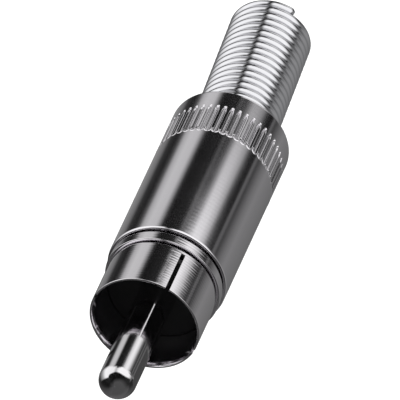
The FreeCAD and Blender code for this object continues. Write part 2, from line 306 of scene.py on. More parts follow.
def turned(outline: np.ndarray, columns: int) -> Surface:
    """A closed outline turned about the axis: each point goes to station * Y + radius * away(angle).

    Args:
        outline: Rows of (station, radius). Points on the axis close the surface with a pole.
        columns: Number of steps round the axis.

    Returns:
        The turned surface.
    """
    angles = np.linspace(0, 2 * math.pi, columns, endpoint=False)
    on_axis = outline[:, 1] < ON_AXIS
    ring = outline[~on_axis]
    points = around(angles)[None] * ring[:, 1, None, None]
    points[..., 1] = ring[:, 0, None]
    points = points.reshape(-1, 3)
    if not on_axis.any():
        return Surface(points * MM, grid_faces(len(ring), columns, True, True), NO_TRIANGLES)
    ends = np.zeros((2, 3))
    ends[:, 1] = outline[on_axis][[0, -1], 0]
    quads = grid_faces(len(ring), columns, False, True)
    return Surface(np.vstack([points, ends]) * MM, quads, end_faces(len(ring), columns))


# Node trees


class Tree:
    """A node tree with short ways to add nodes and links."""

    def __init__(self, tree: NodeTree) -> None:
        """Keep the tree."""
        self.tree = tree

    def node(self, kind: str, **settings: object) -> Node:
        """A new node.

        Args:
            kind: Blender's name of its kind.
            settings: Its properties by name.

        Returns:
            The node.
        """
        made = self.tree.nodes.new(kind)
        for name, value in settings.items():
            setattr(made, name, value)
        return made

    def link(self, source: NodeSocket, target: NodeSocket) -> None:
        """Join two sockets."""
        self.tree.links.new(source, target)

    def feed(self, value: object, target: NodeSocket) -> None:
        """Set a socket, or join it to another one.

        Args:
            value: A number, a colour or a socket.
            target: The socket that gets it.
        """
        if isinstance(value, NodeSocket):
            self.link(value, target)
        else:
            target.default_value = value

    def outputs(self, kind: str, source: NodeSocket, **settings: object) -> dict[str, NodeSocket]:
        """What comes out of a new node whose first input is joined to a socket.

        Args:
            kind: Blender's name of its kind.
            source: The socket that feeds it.
            settings: Its properties by name.

        Returns:
            Its outputs by name.
        """
        made = self.node(kind, **settings)
        self.link(source, made.inputs[0])
        return dict(made.outputs.items())

    def place(self) -> NodeSocket:
        """The place on the piece, in its Object coordinates."""
        return self.node("ShaderNodeTexCoord").outputs["Object"]

    def mark(self, name: str) -> NodeSocket:
        """A number that the piece's points hold."""
        return self.node("ShaderNodeAttribute", attribute_name=name).outputs["Fac"]

    def math(self, operation: str, *values: float | NodeSocket) -> NodeSocket:
        """The result of a Math node.

        Args:
            operation: Blender's name of the operation.
            values: What it works on, numbers or sockets.

        Returns:
            The node's output.
        """
        made = self.node("ShaderNodeMath", operation=operation)
        for value, socket in zip(values, made.inputs):
            self.feed(value, socket)
        return made.outputs[0]

    def bell(self, value: NodeSocket) -> NodeSocket:
        """The bell curve exp(-value^2)."""
        return self.math("EXPONENT", self.math("MULTIPLY", self.math("MULTIPLY", value, value), -1.0))

    def blend(self, share: NodeSocket, first: object, second: object) -> NodeSocket:
        """A colour between two.

        Args:
            share: How much of the second colour there is, from 0 to 1.
            first: A colour or a socket.
            second: A colour or a socket.

        Returns:
            The blended colour.
        """
        made = self.node("ShaderNodeMix", data_type="RGBA")
        self.link(share, made.inputs["Factor"])
        self.feed(first, made.inputs["A"])
        self.feed(second, made.inputs["B"])
        return made.outputs["Result"]

    def ramp(self, stops: list[tuple[float, float]], value: NodeSocket) -> NodeSocket:
        """The colour that a ramp of greys gives for a value.

        Args:
            stops: Place from 0 to 1 and brightness of each stop.
            value: The socket that picks the place.

        Returns:
            The ramp's colour.
        """
        made = self.node("ShaderNodeValToRGB")
        while len(made.color_ramp.elements) < len(stops):
            made.color_ramp.elements.new(0.5)
        for element, (place, level) in zip(made.color_ramp.elements, stops):
            element.position = place
            element.color = grey(level)
        self.link(value, made.inputs["Fac"])
        return made.outputs["Color"]

    def noise(self, place: NodeSocket, scale: float, detail: float, dimensions: str = "3D") -> NodeSocket:
        """Noise from 0 to 1.

        Args:
            place: Where it is read: a vector, or a number with dimensions 1D.
            scale: How many of its waves fit in one unit of place.
            detail: How many finer layers it has.
            dimensions: 3D or 1D.

        Returns:
            The socket of the noise.
        """
        made = self.node("ShaderNodeTexNoise", noise_dimensions=dimensions)
        made.inputs["Scale"].default_value = scale
        made.inputs["Detail"].default_value = detail
        self.link(place, made.inputs["W" if dimensions == "1D" else "Vector"])
        return made.outputs["Fac"]

    def bump(
        self,
        height: NodeSocket,
        full_height: float,
        strength: float | NodeSocket = 1.0,
        normal: NodeSocket | None = None,
    ) -> NodeSocket:
        """The normal of a surface that looks raised.

        Args:
            height: How high it stands, from 0 to 1.
            full_height: Its height at 1, in mm.
            strength: Share of the bump that shows.
            normal: The normal that the bump adds to.

        Returns:
            The new normal.
        """
        made = self.node("ShaderNodeBump")
        made.inputs["Distance"].default_value = full_height * MM
        self.feed(strength, made.inputs["Strength"])
        self.link(height, made.inputs["Height"])
        if normal is not None:
            self.link(normal, made.inputs["Normal"])
        return made.outputs["Normal"]


def grey(level: float) -> tuple[float, float, float, float]:
    """A grey of a brightness."""
    return (level, level, level, 1.0)


def node_group(
    name: str, inputs: dict[str, float | None], outputs: list[str]
) -> tuple[Tree, dict[str, NodeSocket], dict[str, NodeSocket]]:
    """A new shader node group.

    Args:
        name: The group's name.
        inputs: Default number of each input, or None for a vector.
        outputs: Name of each output, all plain numbers.

    Returns:
        The group's tree, and its inner input and output sockets by name.
    """
    group = bpy.data.node_groups.new(name, "ShaderNodeTree")
    for label, value in inputs.items():
        kind = "NodeSocketVector" if value is None else "NodeSocketFloat"
        socket = group.interface.new_socket(label, in_out="INPUT", socket_type=kind)
        if value is not None:
            socket.default_value = value
    for label in outputs:
        group.interface.new_socket(label, in_out="OUTPUT", socket_type="NodeSocketFloat")
    tree = Tree(group)
    entry, leave = tree.node("NodeGroupInput"), tree.node("NodeGroupOutput")
    return tree, {k: entry.outputs[k] for k in inputs}, {k: leave.inputs[k] for k in outputs}


def shaded(name: str, kind: str | None = None) -> tuple[Material, Tree, Node]:
    """A new material.

    Args:
        name: Its name.
        kind: Blender's name of the shader that takes the place of the Principled one, if any.

    Returns:
        The material, its tree and its shader node.
    """
    made = bpy.data.materials.new(name)
    made.use_nodes = True
    tree = Tree(made.node_tree)
    shader = made.node_tree.nodes["Principled BSDF"]
    if kind is not None:
        made.node_tree.nodes.remove(shader)
        shader = tree.node(kind)
        tree.link(shader.outputs[0], made.node_tree.nodes["Material Output"].inputs["Surface"])
    return made, tree, shader


# Finishes

WEAR_PER_MM = 0.4


def turning_group() -> NodeTree:
    """Rings left by a turning tool: noise that changes only along the axis, and the even wave of its feed.

    The height is noise * (1 - feed share) + (half + half the sine of the feed) * feed share.

    Returns:
        A group with Height from 0 to 1, and Wear, which varies slowly over the surface.
    """
    inputs = {"Marks per mm": 6.0, "Feed per mm": 2.2, "Feed share": 0.0}
    tree, given, out = node_group("turning_marks", inputs, ["Height", "Wear"])
    place = tree.place()
    station = tree.math("MULTIPLY", tree.outputs("ShaderNodeSeparateXYZ", place)["Y"], 1 / MM)
    rings = tree.noise(tree.math("MULTIPLY", station, given["Marks per mm"]), 1.0, 3.0, "1D")
    feed = tree.math("MULTIPLY", tree.math("MULTIPLY", station, given["Feed per mm"]), 2 * math.pi)
    wave = tree.math("MULTIPLY_ADD", tree.math("SINE", feed), 0.5, 0.5)
    rest = tree.math("SUBTRACT", 1.0, given["Feed share"])
    even = tree.math("MULTIPLY", wave, given["Feed share"])
    tree.link(tree.math("MULTIPLY_ADD", rings, rest, even), out["Height"])
    tree.link(tree.noise(place, WEAR_PER_MM / MM, 4.0), out["Wear"])
    return tree.tree


@dataclass(frozen=True)
class Plate:
    """A plated metal finish.

    Attributes:
        colour: Base colour, linear.
        roughness: Roughness at even wear.
        roughness_spread: How far wear changes the roughness.
        ring_height: Height of the turning marks, in mm.
        rings_per_mm: How close the turning marks are.
        feed_per_mm: Turns of the tool's even feed wave in a mm.
        feed_share: Share of that wave in the marks.
        pressed_roughness: Roughness where a tool pressed grooves in, or 0 on a piece with none.
        lip_height: How much higher than its mesh the metal round a pressed groove looks, in mm.
    """

    colour: tuple[float, float, float]
    roughness: float
    roughness_spread: float
    ring_height: float
    rings_per_mm: float
    feed_per_mm: float = 2.2
    feed_share: float = 0.0
    pressed_roughness: float = 0.0
    lip_height: float = 0.0

    def material(self, name: str, marks: NodeTree) -> Material:
        """Build the material.

        Args:
            name: Its name.
            marks: The group of turning marks.

        Returns:
            The material.
        """
        made, tree, shader = shaded(name)
        shader.inputs["Metallic"].default_value = 1.0
        shader.inputs["Base Color"].default_value = (*self.colour, 1)
        group = tree.node("ShaderNodeGroup", node_tree=marks)
        group.inputs["Marks per mm"].default_value = self.rings_per_mm
        group.inputs["Feed per mm"].default_value = self.feed_per_mm
        group.inputs["Feed share"].default_value = self.feed_share
        smoothest = self.roughness - self.roughness_spread / 2
        roughness = tree.math("MULTIPLY_ADD", group.outputs["Wear"], self.roughness_spread, smoothest)
        strength = 1.0
        if self.pressed_roughness:
            pressed = tree.mark("pressed")
            rougher = tree.math("MULTIPLY", pressed, self.pressed_roughness)
            roughness = tree.math("MAXIMUM", roughness, rougher)
            strength = tree.math("SUBTRACT", 1.0, pressed)
        normal = tree.bump(group.outputs["Height"], self.ring_height, strength)
        if self.lip_height:
            normal = tree.bump(tree.mark("lip"), self.lip_height, normal=normal)
        tree.link(roughness, shader.inputs["Roughness"])
        tree.link(normal, shader.inputs["Normal"])
        return made


@dataclass(frozen=True)
class Plastic:
    """A moulded plastic finish: fine grain, in mm, on an even colour."""

    colour: tuple[float, float, float]
    roughness: float
    grain_per_mm: float = 8.0
    grain_height: float = 0.004
    grain_contrast: float = 0.15

    def material(self, name: str) -> Material:
        """Build the material.

        Args:
            name: Its name.

        Returns:
            The material.
        """
        made, tree, shader = shaded(name)
        shader.inputs["Roughness"].default_value = self.roughness
        grain = tree.noise(tree.place(), self.grain_per_mm / MM, 2.0)
        factors = (1 - self.grain_contrast, 1 + self.grain_contrast)
        darker, lighter = ((*(min(c * f, 1) for c in self.colour), 1) for f in factors)
        tree.link(tree.blend(grain, darker, lighter), shader.inputs["Base Color"])
        tree.link(tree.bump(grain, self.grain_height), shader.inputs["Normal"])
        return made


PLATES = {
    Slot.BRIGHT: Plate(
        (0.780, 0.767, 0.783), roughness=0.08, roughness_spread=0.04, ring_height=0.0006, rings_per_mm=5.0
    ),
    Slot.TURNED: Plate(
        (0.780, 0.762, 0.786),
        roughness=0.09,
        roughness_spread=0.04,
        ring_height=0.0048,
        rings_per_mm=3.0,
        feed_per_mm=3.4,
        feed_share=0.3,
    ),
    Slot.BARREL: Plate(
        (0.750, 0.734, 0.760),
        roughness=0.11,
        roughness_spread=0.05,
        ring_height=0.0006,
        rings_per_mm=2.0,
        feed_share=0.5,
        pressed_roughness=0.30,
        lip_height=0.03,
    ),
    Slot.WIRE: Plate(
        (0.655, 0.655, 0.678), roughness=0.05, roughness_spread=0.02, ring_height=0.0003, rings_per_mm=5.0
    ),
    Slot.SHEET: Plate(
        (0.68, 0.68, 0.67), roughness=0.32, roughness_spread=0.12, ring_height=0.0010, rings_per_mm=3.0
    ),
}
PLASTICS = {
    Slot.PLASTIC: Plastic((0.004, 0.004, 0.005), roughness=0.6),
    Slot.TUBE: Plastic((0.72, 0.72, 0.68), roughness=0.35),
}


def make_materials() -> dict[Slot, Material]:
    """Build every material of the plug once, each under the name of its slot.

    Returns:
        The material of each slot.
    """
    marks = turning_group()
    made = {slot: plate.material(slot.value, marks) for slot, plate in PLATES.items()}
    return made | {slot: plastic.material(slot.value) for slot, plastic in PLASTICS.items()}


# The plug

# Where a finger's section stands between its two slots: close together at both cut edges, even between them.
FINGER_SHARES = np.concatenate([[0, 0.004], np.linspace(0.02, 0.98, 48), [0.996, 1]])


@dataclass
class Contact:
    """The centre pin, the front insulator, the sawn sleeve and the threaded body, all on one core."""

    materials: dict[Slot, Material]
    pin_tip: float
    cup_end: float
    edge: float = 0.05
    clearance: float = 0.05
    pin_radius: float = 1.6
    nose_length: float = 1.5
    nose_points: int = 20
    shank_radius: float = 1.1
    flange_rear: float = 12.4
    cup_radius: float = 1.5
    cup_bore: float = 0.95
    cup_depth: float = 3.2
    cup_mouth: float = 2.2
    seat: float = 3.8
    insulator_rear: float = 4.3
    insulator_split: float = 7.95
    insulator_gap: float = 0.01
    sleeve_radius: float = 4.72
    sleeve_wall: float = 0.4
    sleeve_depth: float = 4.95
    sleeve_bevel: float = 0.22
    sleeve_lip: float = 0.15
    flare_length: float = 0.45
    flare_rise: float = 0.24
    slot_width: float = 0.38
    slot_count: int = 4
    slot_angle: float = 25.2
    neck_radius: float = 3.2
    stake_height: float = 0.25
    stake_length: float = 0.25
    stake_round: float = 0.08
    lug_thickness: float = 0.5
    collar_radius: float = 4.95
    collar_rear: float = 6.05
    crevice: float = 0.13
    thread_radius: float = 4.35
    thread_rear: float = 10.85
    thread_pitch: float = 0.75
    thread_depth: float = 0.35
    thread_start: float = 0.1
    thread_fade: float = 0.4
    thread_rows: int = 160
    body_bore: float = 2.7

    @property
    def sleeve_bore(self) -> float:
        """Inner radius of the sleeve."""
        return self.sleeve_radius - self.sleeve_wall

    @property
    def floor_front(self) -> float:
        """Station of the front of the sleeve's floor."""
        return self.sleeve_depth - self.sleeve_wall

    def pin(self) -> Object:
        """The turned pin: an arc for its nose, a straight length, a thin shank and a solder cup.

        The nose's arc has the radius (r^2 + length^2) / (2 length), so it meets the axis squarely. The open
        half of the cup is made by pulling the points above its cut down to the cut's height.

        Returns:
            The pin.
        """
        length, radius = self.nose_length, self.pin_radius
        bow = (radius**2 + length**2) / (2 * length)
        turn = np.linspace(0, math.asin(radius / bow), self.nose_points)
        nose = np.stack([self.pin_tip + bow * (1 - np.cos(turn)), bow * np.sin(turn)], axis=1)
        nose[0, 1] = 0
        nose_end = nose[-1, 0]
        side = rounded(
            [
                Corner(nose_end, radius),
                Corner(self.seat, radius, self.edge),
                Corner(self.seat, self.shank_radius),
                Corner(self.flange_rear, self.shank_radius),
                Corner(self.flange_rear, self.cup_radius, 2 * self.edge),
                Corner(self.cup_end, self.cup_radius, self.edge),
                Corner(self.cup_end, self.cup_bore, self.edge),
                Corner(self.cup_end - self.cup_depth, self.cup_bore),
                Corner(self.cup_end - self.cup_depth - self.cup_bore / 2, 0),
            ],
            closed=False,
        )
        outline = np.vstack([nose, [[nose_end + self.edge, radius]], side[1:]])
        surface = turned(outline, columns=128)
        cut_height = self.cup_bore / 4 * MM
        at_cup = surface.points[:, 1] > (self.cup_end - self.cup_mouth) * MM
        surface.points[at_cup & (surface.points[:, 2] > cut_height), 2] = cut_height
        made = piece("pin_contact", surface, Body.CORE, Slot.BRIGHT, self.materials)
        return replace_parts(made, "centre_pin")

    def insulator(self) -> Object:
        """The moulded disc in the sleeve, with its neck in the body's bore, turned about the axis.

        Returns:
            The disc.
        """
        hole = self.shank_radius + self.clearance
        rim = self.sleeve_bore - self.insulator_gap
        neck = self.body_bore - self.clearance
        outline = rounded(
            [
                Corner(self.seat, hole, self.edge),
                Corner(self.seat, rim, 2 * self.edge),
                Corner(self.insulator_rear, rim, self.edge),
                Corner(self.insulator_rear, neck),
                Corner(self.insulator_split, neck),
                Corner(self.insulator_split, hole),
            ]
        )
        surface = turned(outline, columns=96)
        made = piece("insulator_disc", surface, Body.CORE, Slot.PLASTIC, self.materials)
        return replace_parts(made, "front_insulator")

    def finger(self, number: int) -> Surface:
        """One spring finger of the sleeve: its section carried round from one slot to the next.

        The slots have parallel sides, so at each point of the section the finger starts and ends at the
        angle asin(half the slot's width / radius) from the slots' middles.

        Args:
            number: Which finger, from 0.

        Returns:
            The finger's closed surface.
        """
        section = rounded(
            [
                Corner(self.flare_length, self.sleeve_bore),
                Corner(0, self.sleeve_bore + self.flare_rise, 0.8 * self.edge),
                Corner(0, self.sleeve_radius, self.sleeve_lip),
                Corner(self.floor_front, self.sleeve_radius),
                Corner(self.floor_front, self.sleeve_bore),
            ]
        )
        step = 2 * math.pi / self.slot_count
        start = math.radians(self.slot_angle) + number * step
        gap = np.arcsin(self.slot_width / 2 / section[:, 1])
        angles = start + gap[None] + FINGER_SHARES[:, None] * (step - 2 * gap[None])
        points = around(angles) * section[None, :, 1, None]
        points[..., 1] = section[None, :, 0]
        rows, columns = len(FINGER_SHARES), len(section)
        numbers = np.arange(1, columns - 1)
        fan = np.stack([np.zeros_like(numbers), numbers, numbers + 1], axis=1)
        ends = np.vstack([fan, (fan + (rows - 1) * columns)[:, ::-1]])
        return Surface(points.reshape(-1, 3) * MM, grid_faces(rows, columns, False, True), ends)

    def sleeve(self) -> Object:
        """The drawn cup: a holed floor with a bent edge, turned about the axis, and four fingers.

        Returns:
            The sleeve.
        """
        hole = self.neck_radius + self.clearance
        base = rounded(
            [
                Corner(self.floor_front, self.sleeve_radius),
                Corner(self.sleeve_depth, self.sleeve_radius, self.sleeve_bevel),
                Corner(self.sleeve_depth, hole),
                Corner(self.floor_front, hole),
            ],
            steps=8,
        )
        fingers = [self.finger(number) for number in range(self.slot_count)]
        surface = joined(fingers + [turned(base, columns=208)])
        made = piece("sleeve_cup", surface, Body.CORE, Slot.TURNED, self.materials)
        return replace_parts(made, "contact_sleeve")

    def body(self) -> Object:
        """The threaded body: collar, necks and bore turned, and a V thread cut in its middle.

        With t the helix's turns at a point, less their whole part, the thread is depth * (1 - |2 t - 1|)
        deep there, faded out at both ends.

        Returns:
            The body.
        """
        stake = self.neck_radius + self.stake_height
        collar_front, rear = self.sleeve_depth + self.crevice, self.thread_rear
        lug_rear = rear + self.lug_thickness
        lead = rounded(
            [
                Corner(self.floor_front - self.stake_length, self.body_bore, self.edge),
                Corner(self.floor_front - self.stake_length, stake, self.stake_round),
                Corner(self.floor_front, stake, self.edge),
                Corner(self.floor_front, self.neck_radius),
                Corner(collar_front, self.neck_radius),
                Corner(collar_front, self.collar_radius, self.edge),
                Corner(self.collar_rear, self.collar_radius, 2 * self.edge),
                Corner(self.collar_rear, self.thread_radius),
            ],
            closed=False,
        )
        stations = np.linspace(self.collar_rear, rear, self.thread_rows)[1:]
        thread = np.stack([stations, np.full_like(stations, self.thread_radius)], axis=1)
        tail = rounded(
            [
                Corner(rear, self.neck_radius),
                Corner(lug_rear, self.neck_radius),
                Corner(lug_rear, stake, self.edge),
                Corner(lug_rear + self.stake_length, stake, self.stake_round),
                Corner(lug_rear + self.stake_length, self.body_bore),
            ],
            closed=False,
        )
        surface = turned(np.vstack([lead, thread, tail]), columns=144)
        angle, station, radius = surface.polar()
        turns = (station - self.collar_rear) / self.thread_pitch - angle / (2 * math.pi)
        groove = 1 - np.abs(2 * (turns - np.floor(turns)) - 1)
        fade_in = np.clip((station - self.collar_rear - self.thread_start) / self.thread_fade, 0, 1)
        fade_out = np.clip((rear - station) / self.thread_fade, 0, 1)
        threaded = np.abs(radius - self.thread_radius) < SAME_RADIUS
        surface.swell(1 - np.where(threaded, self.thread_depth * groove * fade_in * fade_out, 0) / radius)
        made = piece("body_core", surface, Body.CORE, Slot.TURNED, self.materials)
        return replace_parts(made, "threaded_body")

    def build(self) -> None:
        """Make every piece of the core and dress the CAD nodes that stay."""
        self.pin()
        self.insulator()
        self.sleeve()
        self.body()
        dress("rear_insulator", self.materials[Slot.PLASTIC])
        dress("ground_lug", self.materials[Slot.SHEET])


@dataclass
class Barrel:
    """The screw-on barrel with its ring of pressed grip grooves.

    The rows of mesh points along the grooves are given by their first and last station and their count: the
    front rows from the grooves' front end, the rear rows from their rear end, the middle rows from both.
    """

    materials: dict[Slot, Material]
    front: float
    rear: float
    radius: float = 5.16
    bore: float = 4.45
    rear_wall: float = 1.0
    rear_hole: float = 3.77
    bevel: float = 0.18
    edge: float = 0.2
    hole_edge: float = 0.08
    inner_edge: float = 0.05
    groove_count: int = 50
    groove_length: float = 3.34
    groove_margin: float = 1.9
    groove_width: float = 0.42
    groove_depth: float = 0.13
    groove_angle: float = 16.5
    tail_width: float = 0.25
    tail_length: float = 0.5
    lip_height: float = 0.015
    lip_width: float = 0.1
    lip_end: float = 0.25
    lip_fade: float = 0.3
    smooth_to: float = 80.0
    columns_per_groove: int = 24
    row_gap: float = 0.05
    front_rows: tuple[float, float, int] = (-0.25, 0.45, 20)
    middle_rows: tuple[float, float, int] = (0.6, -0.6, 8)
    rear_rows: tuple[float, float, int] = (-0.5, 0.0, 12)

    @property
    def groove_rear(self) -> float:
        """Station of the grooves' rear ends."""
        return self.rear - self.groove_margin

    @property
    def groove_front(self) -> float:
        """Station of the grooves' front ends."""
        return self.groove_rear - self.groove_length

    def groove_depths(self, angles: np.ndarray, stations: np.ndarray) -> tuple[np.ndarray, np.ndarray]:
        """How deep the grip grooves are at each point, and how high the metal pushed out before them.

        A groove is a slot with round ends that narrows towards its rear end. With q the distance from its
        middle line, or from the centre of the end beyond it, over half the width there, its depth is
        depth * (1 - q^2)^1.5 and 0 outside. The lip is a bell curve of the distance outside the front end.

        Args:
            angles: Angles round the axis, in radians.
            stations: Stations along the axis, of the same shape.

        Returns:
            Depths and lip heights.
        """
        step = 2 * math.pi / self.groove_count
        across = (angles - math.radians(self.groove_angle) + step / 2) % step - step / 2
        wide, narrow = self.groove_width / 2, self.tail_width / 2
        low, high = self.groove_front + wide, self.groove_rear - narrow
        half = wide + (narrow - wide) * eased(stations, high - self.tail_length, self.tail_length)
        past = np.maximum(low - stations, 0) + np.maximum(stations - high, 0)
        away = np.hypot(across * self.radius, past)
        depth = self.groove_depth * np.clip(1 - (away / half) ** 2, 0, 1) ** 1.5
        front = np.clip((low + self.lip_end - stations) / self.lip_fade, 0, 1)
        half_lip = self.lip_width / 2
        bell = np.exp(-(((away - half - half_lip) / half_lip) ** 2))
        return depth, self.lip_height * front * bell

    def shell(self) -> Object:
        """The barrel: its section turned about the axis, with the grooves pressed in.

        Each point of its skin moves in by the groove's depth there, and out by the lip's height.

        Returns:
            The barrel.
        """
        skin = self.radius - self.lip_height
        start, end = self.groove_front, self.groove_rear
        outer = rounded(
            [
                Corner(self.front, self.bore),
                Corner(self.front, skin, self.bevel),
                Corner(start + self.front_rows[0] - self.row_gap, skin),
            ],
            closed=False,
        )
        rows = [(start, start, self.front_rows), (start, end, self.middle_rows), (end, end, self.rear_rows)]
        stations = [np.linspace(low + first, high + last, count) for low, high, (first, last, count) in rows]
        band = np.concatenate(stations)
        band = np.stack([band, np.full_like(band, skin)], axis=1)
        wall_front = self.rear - self.rear_wall
        inner = rounded(
            [
                Corner(end + self.row_gap, skin),
                Corner(self.rear, skin, self.edge),
                Corner(self.rear, self.rear_hole, self.hole_edge),
                Corner(wall_front, self.rear_hole, self.inner_edge),
                Corner(wall_front, self.bore),
                Corner(self.front, self.bore),
            ],
            closed=False,
        )[:-1]
        surface = turned(np.vstack([outer, band, inner]), self.groove_count * self.columns_per_groove)
        angle, station, radius = surface.polar()
        on_skin = np.abs(radius - skin) < SAME_RADIUS
        depth, lip = (np.where(on_skin, values, 0) for values in self.groove_depths(angle, station))
        surface.swell(1 + (lip - depth) / radius)
        marks = {"pressed": depth / self.groove_depth, "lip": lip / self.lip_height}
        finish = Slot.BARREL
        made = piece("barrel_shell", surface, Body.BARREL, finish, self.materials, self.smooth_to, marks)
        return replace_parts(made, "barrel")

    def build(self) -> None:
        """Make the barrel and dress the tube inside it."""
        self.shell()
        dress("insulating_tube", self.materials[Slot.TUBE])


@dataclass
class Spring:
    """The coil spring: a round wire on a right-hand helix, leaned over in the barrel's rear hole."""

    materials: dict[Slot, Material]
    barrel_rear: float
    wire: float = 0.37
    pitch: float = 0.755
    radius: float = 3.58
    foot_radius: float = 4.18
    foot_turns: float = 1.2
    ease_turns: float = 0.4
    foot_gap: float = 0.2
    rear_wall: float = 1.0
    reach: float = 14.355
    end_angle: float = 36.9
    lean: float = 2.6
    lean_axis: float = 18.9
    end_round: float = 0.14
    steps_per_turn: int = 84
    wire_sides: int = 22

    def centre_line(self) -> np.ndarray:
        """The wire's centre line: angle and station grow evenly, and the radius eases from foot to coil.

        Returns:
            Points in mm, before the lean.
        """
        start = self.barrel_rear - self.rear_wall - self.foot_gap - self.wire
        start -= (self.foot_turns + self.ease_turns) * self.pitch
        end = self.barrel_rear + self.reach - self.wire
        turns = (end - start) / self.pitch
        turn = np.linspace(0, turns, round(turns * self.steps_per_turn) + 1)
        wide, narrow = self.foot_radius - self.wire, self.radius - self.wire
        radius = wide + (narrow - wide) * eased(turn, self.foot_turns, self.ease_turns)
        points = around(math.radians(self.end_angle) - 2 * math.pi * (turns - turn)) * radius[:, None]
        points[:, 1] = start + turn * self.pitch
        return points

    def leaned(self, points: np.ndarray) -> np.ndarray:
        """Points turned by the lean about a line through the middle of the barrel's rear wall.

        Args:
            points: Points in mm.

        Returns:
            The leaning points.
        """
        line = Vector(around(np.radians(self.lean_axis)))
        matrix = np.array(Matrix.Rotation(math.radians(self.lean), 3, line))
        pivot = np.array([0, self.barrel_rear - self.rear_wall / 2, 0])
        return (points - pivot) @ matrix.T + pivot

    def coil(self) -> Object:
        """The wire: a circle carried along the centre line, across its way, with both cut ends rounded.

        The circle stands on the direction away from the axis, made square to the way, and on their cross
        product. Within one rounding of an end it shrinks as a quarter circle does.

        Returns:
            The spring.
        """
        line = self.centre_line()
        way = np.gradient(line, axis=0)
        way /= np.linalg.norm(way, axis=1)[:, None]
        away = line * np.array([1.0, 0.0, 1.0])
        away -= (away * way).sum(1)[:, None] * way
        away /= np.linalg.norm(away, axis=1)[:, None]
        side = np.cross(way, away)
        angles = np.linspace(0, 2 * math.pi, self.wire_sides, endpoint=False)[None, :, None]
        ring = np.cos(angles) * away[:, None] + np.sin(angles) * side[:, None]
        ends = line[[0, -1]]
        nearness = np.linalg.norm(line[:, None] - ends, axis=2).min(1) / self.end_round
        short = 1 - np.clip(nearness, 0, 1)
        radius = self.wire - self.end_round * (1 - np.sqrt(1 - short**2))
        points = line[:, None] + radius[:, None, None] * ring
        surface = Surface(
            self.leaned(np.vstack([points.reshape(-1, 3), ends])) * MM,
            grid_faces(len(line), self.wire_sides, False, True),
            end_faces(len(line), self.wire_sides),
        )
        made = piece("spring_coil", surface, Body.SPRING, Slot.WIRE, self.materials)
        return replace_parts(made, "cable_spring")


# The studio

# Angle round the axis of the camera's side. All angles round the axis below are in degrees from there, those
# from the axis in degrees from +Y.
SIGHT_ANGLE = math.radians(18.89)


def round_stops(stops: list[tuple[float, float]]) -> list[tuple[float, float]]:
    """Stops by an angle round the axis, from -180 to 180 degrees, as places from 0 to 1."""
    return [((angle + 180) / 360, level) for angle, level in stops]


def axis_stops(stops: list[tuple[float, float]]) -> list[tuple[float, float]]:
    """Stops by an angle from the axis, from 0 to 180 degrees, as places from 0 to 1."""
    return [(angle / 180, level) for angle, level in stops]


@dataclass(frozen=True)
class Edge:
    """A soft edge in the studio: its angle from the axis by the angle round it, and its width in degrees."""

    stops: list[tuple[float, float]]
    width: float

    def past(self, tree: Tree, angles: dict[str, NodeSocket]) -> NodeSocket:
        """How far a direction lies past the edge: 0 before it, 1 past it, evenly between over the width.

        Args:
            tree: The tree that gets the nodes.
            angles: The outputs of the directions group.

        Returns:
            The socket of the share.
        """
        stops = [(place, level / 180) for place, level in round_stops(self.stops)]
        edge = tree.ramp(stops, angles["Round axis"])
        past = tree.math("SUBTRACT", angles["From axis"], edge)
        return tree.math("MULTIPLY_ADD", past, 180 / self.width, 0.5)


# Brightness of the studio round the axis for directions near the axis.
STRIPES = [
    (-180, 0.14), (-168, 0.25), (-156, 0.28), (-134, 0.20), (-122, 0.04), (-106, 0.015), (-99, 0.05),
    (-94, 0.12), (-87, 0.48), (-76, 0.66), (-60, 0.62), (-49, 0.04), (-44, 0.008), (-12, 0.02), (-7, 0.08),
    (-3, 0.42), (0, 0.66), (9, 0.95), (16, 1.05), (24, 0.98), (34, 0.62), (43, 0.16), (52, 0.06),
    (57, 0.04), (62, 0.16), (68, 0.05), (84, 0.18), (98, 0.25), (112, 0.22), (168, 0.14), (180, 0.14),
]
# The same for directions across the axis: two wide panels with a dark gap on the camera's left, dim below.
ACROSS = [
    (-180, 0.07), (-145, 0.04), (-130, 0.14), (-121, 0.38), (-112, 0.89), (-104, 1.14), (-92, 1.38),
    (-37, 1.38), (-33, 0.18), (-31, 0.02), (-28, 0.02), (-25, 0.48), (-20, 1.38), (32, 1.38), (41, 1.14),
    (48, 0.54), (54, 0.24), (64, 0.25), (74, 0.34), (86, 0.37), (104, 0.31), (125, 0.22), (160, 0.22),
    (180, 0.07),
]
# Share of the wide panels by the angle from the axis, and where they end.
ACROSS_SHARE = [(0, 0.0), (47, 0.0), (53, 0.2), (60, 0.5), (68, 0.76), (78, 0.92), (90, 1.0)]
ACROSS_END = Edge(
    [
        (-130, 156), (-96, 147), (-80, 144), (-64, 136), (-56, 131), (-40, 113), (-31, 112), (-24, 131),
        (-16, 136), (0, 147), (16, 153), (48, 157), (60, 166), (90, 158), (140, 158),
    ],
    width=38,
)
# Brightness past that end and near the rear pole, and its share there by the angle from the axis.
FRONT_SIDES = [
    (-180, 0.30), (-165, 0.22), (-150, 0.10), (-120, 0.05), (-96, 0.02), (-50, 0.02), (-38, 0.05),
    (-30, 0.17), (-24, 0.29), (0, 0.40), (24, 0.48), (48, 0.58), (72, 0.50), (90, 0.31), (112, 0.17),
    (150, 0.18), (180, 0.30),
]
REAR_SHARE = [(0, 1.0), (12, 0.8), (30, 0.0)]
# The dark joint beside the wide panels, far off where there is none, and its brightness.
JOINT = Edge(
    [
        (-180, 260), (62.9, 260), (63.0, 116), (68, 121), (72, 129), (76, 136), (84, 144), (98, 151),
        (140, 154),
    ],
    width=8,
)
JOINT_LEVEL = 0.04

